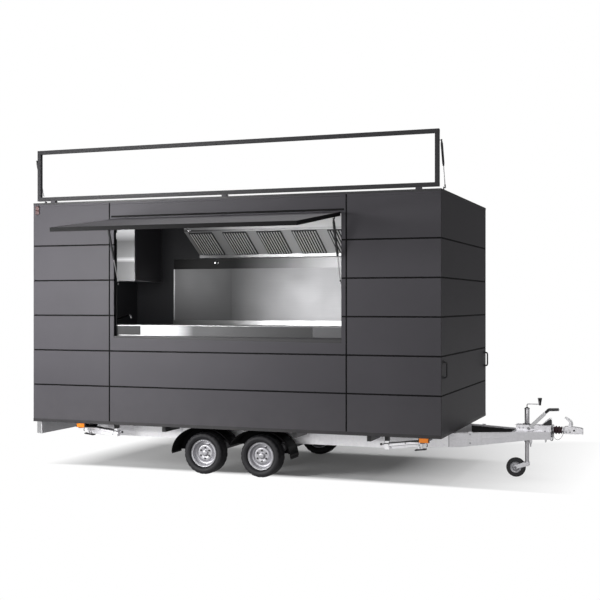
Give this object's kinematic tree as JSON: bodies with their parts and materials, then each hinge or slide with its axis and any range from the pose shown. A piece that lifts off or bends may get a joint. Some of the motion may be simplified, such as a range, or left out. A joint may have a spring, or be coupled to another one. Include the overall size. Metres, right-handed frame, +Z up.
{
  "type": "food trailer",
  "caption": "Box-bodied food trailer with an open serving hatch, stainless kitchen, roof sign frame, tandem wheels, drawbar and jockey wheel.",
  "frame": {"origin": "on the ground, under the middle of the whole part seen from above, with the hatch open", "axes": "+X along the trailer to the coupling, -Y out of the serving side, +Z up"},
  "size_m": [5.7948, 3.5276, 3.468],
  "materials": {
    "amber": "clear lens",
    "black_metal": "satin black paint",
    "cable_coat": "coated cable",
    "cladding": "matt grey paint",
    "flooring": "non-slip",
    "galvanised": "galvanised",
    "guard_plastic": "moulded",
    "rim_steel": "silver paint",
    "rubber": "matt",
    "stainless": "brushed"
  },
  "bodies": {
    "trailer": {"axle_front": "galvanised", "axle_rear": "galvanised", "bellows": "rubber", "brake_rod": "galvanised", "breakaway_cable": "cable_coat", "chassis_frame": "galvanised", "cook_counter": "stainless", "coupling_head": "galvanised", "drawbar": "galvanised", "extraction_hood": "stainless", "floor_deck": "flooring", "grab_handle_front_offside": "black_metal", "grab_handle_front_serving": "black_metal", "grab_handle_rear_offside": "black_metal", "grab_handle_rear_serving": "black_metal", "handbrake_lever": "black_metal", "jockey_tube": "galvanised", "mudguard_offside": "guard_plastic", "mudguard_serving": "guard_plastic", "overrun_housing": "galvanised", "rear_lamp_bar": "galvanised", "roof": "cladding", "serving_counter": "stainless", "side_lamp_front_offside": "amber", "side_lamp_front_serving": "amber", "side_lamp_rear_offside": "amber", "side_lamp_rear_serving": "amber", "splashback": "stainless", "wall_cabinet": "stainless", "wall_front": "cladding", "wall_offside": "cladding", "wall_rear": "cladding", "wall_serving": "cladding"},
    "wheel_front_serving": {"tyre_front_serving": "rubber", "rim_front_serving": "rim_steel"},
    "wheel_front_offside": {"tyre_front_offside": "rubber", "rim_front_offside": "rim_steel"},
    "wheel_rear_serving": {"tyre_rear_serving": "rubber", "rim_rear_serving": "rim_steel"},
    "wheel_rear_offside": {"tyre_rear_offside": "rubber", "rim_rear_offside": "rim_steel"},
    "jockey_leg": {"jockey_leg": "stainless"},
    "jockey_fork": {"jockey_fork": "galvanised"},
    "jockey_wheel": {"jockey_wheel": "rubber"},
    "hatch_flap": {"hatch_flap": "cladding"},
    "sign_frame": {"sign_frame": "black_metal"},
    "rear_door": {"rear_door": "cladding"},
    "steady_front_serving": {"steady_front_serving": "galvanised"},
    "steady_front_offside": {"steady_front_offside": "galvanised"},
    "steady_rear_serving": {"steady_rear_serving": "galvanised"},
    "steady_rear_offside": {"steady_rear_offside": "galvanised"},
    "hatch_strut_rear_cylinder": {"hatch_strut_rear_cylinder": "black_metal"},
    "hatch_strut_rear_rod": {"hatch_strut_rear_rod": "stainless"},
    "hatch_strut_front_cylinder": {"hatch_strut_front_cylinder": "black_metal"},
    "hatch_strut_front_rod": {"hatch_strut_front_rod": "stainless"},
    "sign_strut_rear_cylinder": {"sign_strut_rear_cylinder": "black_metal"},
    "sign_strut_rear_rod": {"sign_strut_rear_rod": "stainless"},
    "sign_strut_front_cylinder": {"sign_strut_front_cylinder": "black_metal"},
    "sign_strut_front_rod": {"sign_strut_front_rod": "stainless"}
  },
  "joints": [
    {"name": "wheel_front_serving_spin", "type": "hinge", "parent": "trailer", "child": "wheel_front_serving", "pos_m": [-0.2325, -0.29818, 0.22], "axis": [0, 1, 0], "continuous": true},
    {"name": "wheel_front_offside_spin", "type": "hinge", "parent": "trailer", "child": "wheel_front_offside", "pos_m": [-0.2325, 1.52581, 0.22], "axis": [0, 1, 0], "continuous": true},
    {"name": "wheel_rear_serving_spin", "type": "hinge", "parent": "trailer", "child": "wheel_rear_serving", "pos_m": [-0.8775, -0.29818, 0.22], "axis": [0, 1, 0], "continuous": true},
    {"name": "wheel_rear_offside_spin", "type": "hinge", "parent": "trailer", "child": "wheel_rear_offside", "pos_m": [-0.8775, 1.52581, 0.22], "axis": [0, 1, 0], "continuous": true},
    {"name": "hatch_flap_swing", "type": "hinge", "parent": "trailer", "child": "hatch_flap", "pos_m": [-0.5775, -0.53619, 2.695], "axis": [1, 0, 0], "range_deg": [0, 81.9]},
    {"name": "hatch_strut_rear_pivot", "type": "hinge", "parent": "hatch_flap", "child": "hatch_strut_rear_cylinder", "pos_m": [-1.8265, -0.70664, 2.61519], "axis": [1, 0, 0], "range_deg": [-102.53, 0]},
    {"name": "hatch_strut_rear_slide", "type": "slide", "parent": "hatch_strut_rear_cylinder", "child": "hatch_strut_rear_rod", "axis": [0, -0.3441, 0.9389], "range_m": [0, 0.1412]},
    {"name": "hatch_strut_front_pivot", "type": "hinge", "parent": "hatch_flap", "child": "hatch_strut_front_cylinder", "pos_m": [0.6715, -0.70664, 2.61519], "axis": [1, 0, 0], "range_deg": [-102.53, 0]},
    {"name": "hatch_strut_front_slide", "type": "slide", "parent": "hatch_strut_front_cylinder", "child": "hatch_strut_front_rod", "axis": [0, -0.3441, 0.9389], "range_m": [0, 0.1412]},
    {"name": "sign_frame_fold", "type": "hinge", "parent": "trailer", "child": "sign_frame", "pos_m": [-0.5775, -0.46619, 2.905], "axis": [-1, 0, 0], "range_deg": [0, 90]},
    {"name": "sign_strut_rear_pivot", "type": "hinge", "parent": "sign_frame", "child": "sign_strut_rear_cylinder", "pos_m": [-2.844, -0.48618, 3.358], "axis": [-1, 0, 0], "range_deg": [0, 19.65]},
    {"name": "sign_strut_rear_slide", "type": "slide", "parent": "sign_strut_rear_cylinder", "child": "sign_strut_rear_rod", "axis": [0, -0.3431, 0.9393], "range_m": [0, 0.1543]},
    {"name": "sign_strut_front_pivot", "type": "hinge", "parent": "sign_frame", "child": "sign_strut_front_cylinder", "pos_m": [1.689, -0.48618, 3.358], "axis": [-1, 0, 0], "range_deg": [0, 19.65]},
    {"name": "sign_strut_front_slide", "type": "slide", "parent": "sign_strut_front_cylinder", "child": "sign_strut_front_rod", "axis": [0, -0.3431, 0.9393], "range_m": [0, 0.1543]},
    {"name": "rear_door_swing", "type": "hinge", "parent": "trailer", "child": "rear_door", "pos_m": [-2.8605, 1.05082, 1.4803], "axis": [0, 0, -1], "range_deg": [0, 100]},
    {"name": "jockey_lift", "type": "slide", "parent": "trailer", "child": "jockey_leg", "axis": [0, 0, 1], "range_m": [-0.08, 0.12]},
    {"name": "jockey_swivel", "type": "hinge", "parent": "jockey_leg", "child": "jockey_fork", "pos_m": [2.3375, 0.61381, 0.165], "axis": [0, 0, 1], "continuous": true},
    {"name": "jockey_spin", "type": "hinge", "parent": "jockey_fork", "child": "jockey_wheel", "pos_m": [2.2245, 0.61381, 0.1], "axis": [0, 1, 0], "continuous": true},
    {"name": "steady_front_serving_fold", "type": "hinge", "parent": "trailer", "child": "steady_front_serving", "pos_m": [1.1125, -0.33619, 0.368], "axis": [0, 1, 0], "range_deg": [0, 70]},
    {"name": "steady_front_offside_fold", "type": "hinge", "parent": "trailer", "child": "steady_front_offside", "pos_m": [1.1125, 1.56381, 0.368], "axis": [0, 1, 0], "range_deg": [0, 70]},
    {"name": "steady_rear_serving_fold", "type": "hinge", "parent": "trailer", "child": "steady_rear_serving", "pos_m": [-1.9275, -0.33619, 0.368], "axis": [0, -1, 0], "range_deg": [0, 70]},
    {"name": "steady_rear_offside_fold", "type": "hinge", "parent": "trailer", "child": "steady_rear_offside", "pos_m": [-1.9275, 1.56381, 0.368], "axis": [0, -1, 0], "range_deg": [0, 70]}
  ],
  "couplings": [
    {"joint": "hatch_strut_rear_pivot", "follows": "hatch_flap_swing", "ratio": -1.2457},
    {"joint": "hatch_strut_rear_slide", "follows": "hatch_flap_swing", "m_per_rad": 0.09808},
    {"joint": "hatch_strut_front_pivot", "follows": "hatch_flap_swing", "ratio": -1.2457},
    {"joint": "hatch_strut_front_slide", "follows": "hatch_flap_swing", "m_per_rad": 0.09808},
    {"joint": "sign_strut_rear_pivot", "follows": "sign_frame_fold", "ratio": 0.2128},
    {"joint": "sign_strut_rear_slide", "follows": "sign_frame_fold", "m_per_rad": 0.09757},
    {"joint": "sign_strut_front_pivot", "follows": "sign_frame_fold", "ratio": 0.2128},
    {"joint": "sign_strut_front_slide", "follows": "sign_frame_fold", "m_per_rad": 0.09757}
  ]
}
